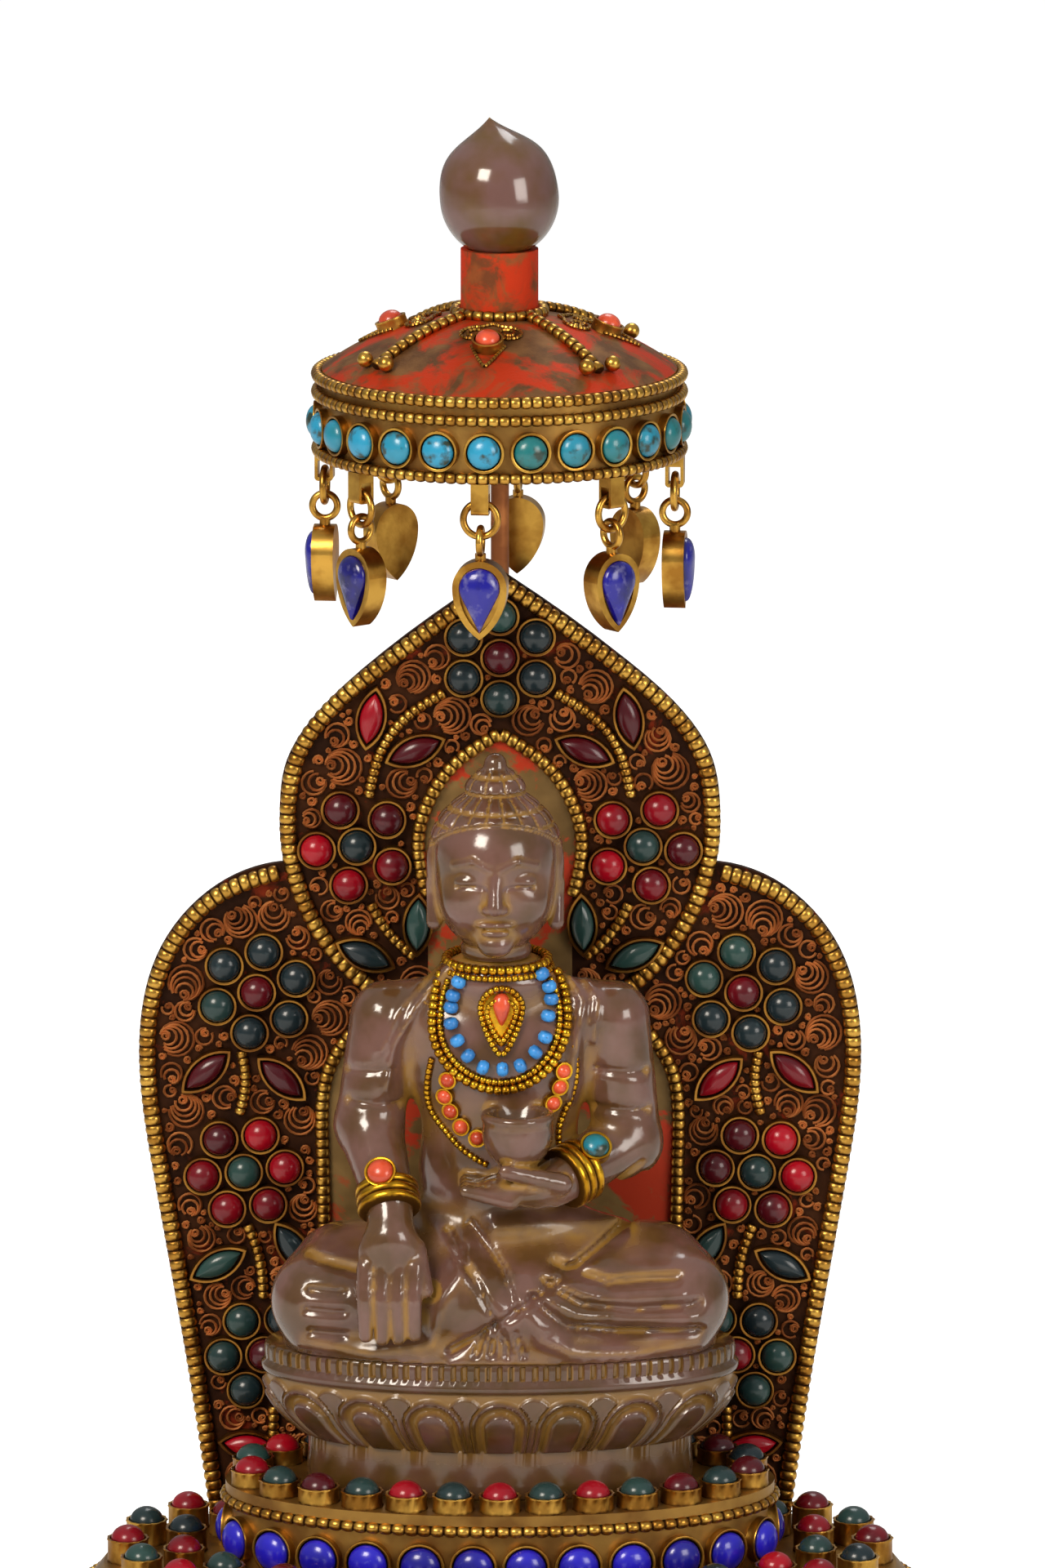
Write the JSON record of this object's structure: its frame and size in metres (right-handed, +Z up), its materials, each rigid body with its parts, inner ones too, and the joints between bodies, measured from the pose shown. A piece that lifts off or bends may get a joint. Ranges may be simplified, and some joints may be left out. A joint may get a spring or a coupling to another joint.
{
  "type": "tabletop canopied shrine",
  "caption": "Gilt tabletop shrine with a carved crystal seated figure before a stone-set filigree panel, under a domed canopy with swinging drops.",
  "frame": {"origin": "centre of the underside of the oval foot plate", "axes": "+Z up, the figure faces -Y, +X to the right seen from the front"},
  "size_m": [0.168, 0.116, 0.3045],
  "materials": {
    "gilt_metal": "worn gilding",
    "aged_copper": "tarnished copper",
    "rock_crystal": "polished, smoky",
    "red_stone": "polished",
    "green_stone": "polished",
    "lapis": "polished",
    "turquoise": "polished",
    "coral": "polished",
    "red_paint": "rubbed red pigment"
  },
  "bodies": {
    "shrine": {"foot_plate": "gilt_metal", "lotus_petals": "gilt_metal", "base_wall": "gilt_metal", "base_beading": "gilt_metal", "step_settings": "gilt_metal", "step_red_stones": "red_stone", "step_green_stones": "green_stone", "pedestal_drum": "gilt_metal", "pedestal_beading": "gilt_metal", "lapis_settings": "gilt_metal", "lapis_stones": "lapis", "rim_settings": "gilt_metal", "rim_red_stones": "red_stone", "rim_green_stones": "green_stone", "crystal_figure": "rock_crystal", "gilt_jewellery": "gilt_metal", "turquoise_beads": "turquoise", "coral_stones": "coral", "back_plate": "aged_copper", "outer_border": "gilt_metal", "nimbus_border": "gilt_metal", "inner_beading": "gilt_metal", "back_settings": "gilt_metal", "back_red_stones": "red_stone", "back_green_stones": "green_stone", "canopy_rod": "aged_copper", "canopy_dome": "red_paint", "canopy_band": "gilt_metal", "canopy_beading": "gilt_metal", "turquoise_settings": "gilt_metal", "canopy_turquoise": "turquoise", "dome_ornaments": "gilt_metal", "finial_collar": "red_paint", "crystal_finial": "rock_crystal", "pendant_bails": "gilt_metal"},
    "ring_1": {"ring_1": "gilt_metal"},
    "pendant_1": {"drop_1": "gilt_metal", "drop_stone_1": "lapis"},
    "ring_2": {"ring_2": "gilt_metal"},
    "pendant_2": {"drop_2": "gilt_metal", "drop_stone_2": "lapis"},
    "ring_3": {"ring_3": "gilt_metal"},
    "pendant_3": {"drop_3": "gilt_metal", "drop_stone_3": "lapis"},
    "ring_4": {"ring_4": "gilt_metal"},
    "pendant_4": {"drop_4": "gilt_metal", "drop_stone_4": "lapis"},
    "ring_5": {"ring_5": "gilt_metal"},
    "pendant_5": {"drop_5": "gilt_metal", "drop_stone_5": "lapis"},
    "ring_6": {"ring_6": "gilt_metal"},
    "pendant_6": {"drop_6": "gilt_metal", "drop_stone_6": "lapis"},
    "ring_7": {"ring_7": "gilt_metal"},
    "pendant_7": {"drop_7": "gilt_metal", "drop_stone_7": "lapis"},
    "ring_8": {"ring_8": "gilt_metal"},
    "pendant_8": {"drop_8": "gilt_metal", "drop_stone_8": "lapis"}
  },
  "joints": [
    {"name": "ring_1_swing", "type": "hinge", "parent": "shrine", "child": "ring_1", "pos_m": [-0.00338, -0.02412, 0.2391], "axis": [0.9945, -0.1045, 0], "range_deg": [-25, 25]},
    {"name": "pendant_1_sway", "type": "hinge", "parent": "ring_1", "child": "pendant_1", "pos_m": [-0.00338, -0.02412, 0.2329], "axis": [-0.1045, -0.9945, 0], "range_deg": [-15, 15]},
    {"name": "ring_2_swing", "type": "hinge", "parent": "shrine", "child": "ring_2", "pos_m": [0.02033, -0.0171, 0.2391], "axis": [0.7771, 0.6293, 0], "range_deg": [-25, 25]},
    {"name": "pendant_2_sway", "type": "hinge", "parent": "ring_2", "child": "pendant_2", "pos_m": [0.02033, -0.0171, 0.2329], "axis": [0.6293, -0.7771, 0], "range_deg": [-15, 15]},
    {"name": "ring_3_swing", "type": "hinge", "parent": "shrine", "child": "ring_3", "pos_m": [0.03212, 0.00462, 0.2391], "axis": [0.1045, 0.9945, 0], "range_deg": [-25, 25]},
    {"name": "pendant_3_sway", "type": "hinge", "parent": "ring_3", "child": "pendant_3", "pos_m": [0.03212, 0.00462, 0.2329], "axis": [0.9945, -0.1045, 0], "range_deg": [-15, 15]},
    {"name": "ring_4_swing", "type": "hinge", "parent": "shrine", "child": "ring_4", "pos_m": [0.0251, 0.02833, 0.2391], "axis": [-0.6293, 0.7771, 0], "range_deg": [-25, 25]},
    {"name": "pendant_4_sway", "type": "hinge", "parent": "ring_4", "child": "pendant_4", "pos_m": [0.0251, 0.02833, 0.2329], "axis": [0.7771, 0.6293, 0], "range_deg": [-15, 15]},
    {"name": "ring_5_swing", "type": "hinge", "parent": "shrine", "child": "ring_5", "pos_m": [0.00338, 0.04012, 0.2391], "axis": [-0.9945, 0.1045, 0], "range_deg": [-25, 8]},
    {"name": "pendant_5_sway", "type": "hinge", "parent": "ring_5", "child": "pendant_5", "pos_m": [0.00338, 0.04012, 0.2329], "axis": [0.1045, 0.9945, 0], "range_deg": [-15, 15]},
    {"name": "ring_6_swing", "type": "hinge", "parent": "shrine", "child": "ring_6", "pos_m": [-0.02033, 0.0331, 0.2391], "axis": [-0.7771, -0.6293, 0], "range_deg": [-25, 25]},
    {"name": "pendant_6_sway", "type": "hinge", "parent": "ring_6", "child": "pendant_6", "pos_m": [-0.02033, 0.0331, 0.2329], "axis": [-0.6293, 0.7771, 0], "range_deg": [-15, 15]},
    {"name": "ring_7_swing", "type": "hinge", "parent": "shrine", "child": "ring_7", "pos_m": [-0.03212, 0.01138, 0.2391], "axis": [-0.1045, -0.9945, 0], "range_deg": [-25, 25]},
    {"name": "pendant_7_sway", "type": "hinge", "parent": "ring_7", "child": "pendant_7", "pos_m": [-0.03212, 0.01138, 0.2329], "axis": [-0.9945, 0.1045, 0], "range_deg": [-15, 15]},
    {"name": "ring_8_swing", "type": "hinge", "parent": "shrine", "child": "ring_8", "pos_m": [-0.0251, -0.01233, 0.2391], "axis": [0.6293, -0.7771, 0], "range_deg": [-25, 25]},
    {"name": "pendant_8_sway", "type": "hinge", "parent": "ring_8", "child": "pendant_8", "pos_m": [-0.0251, -0.01233, 0.2329], "axis": [-0.7771, -0.6293, 0], "range_deg": [-15, 15]}
  ]
}
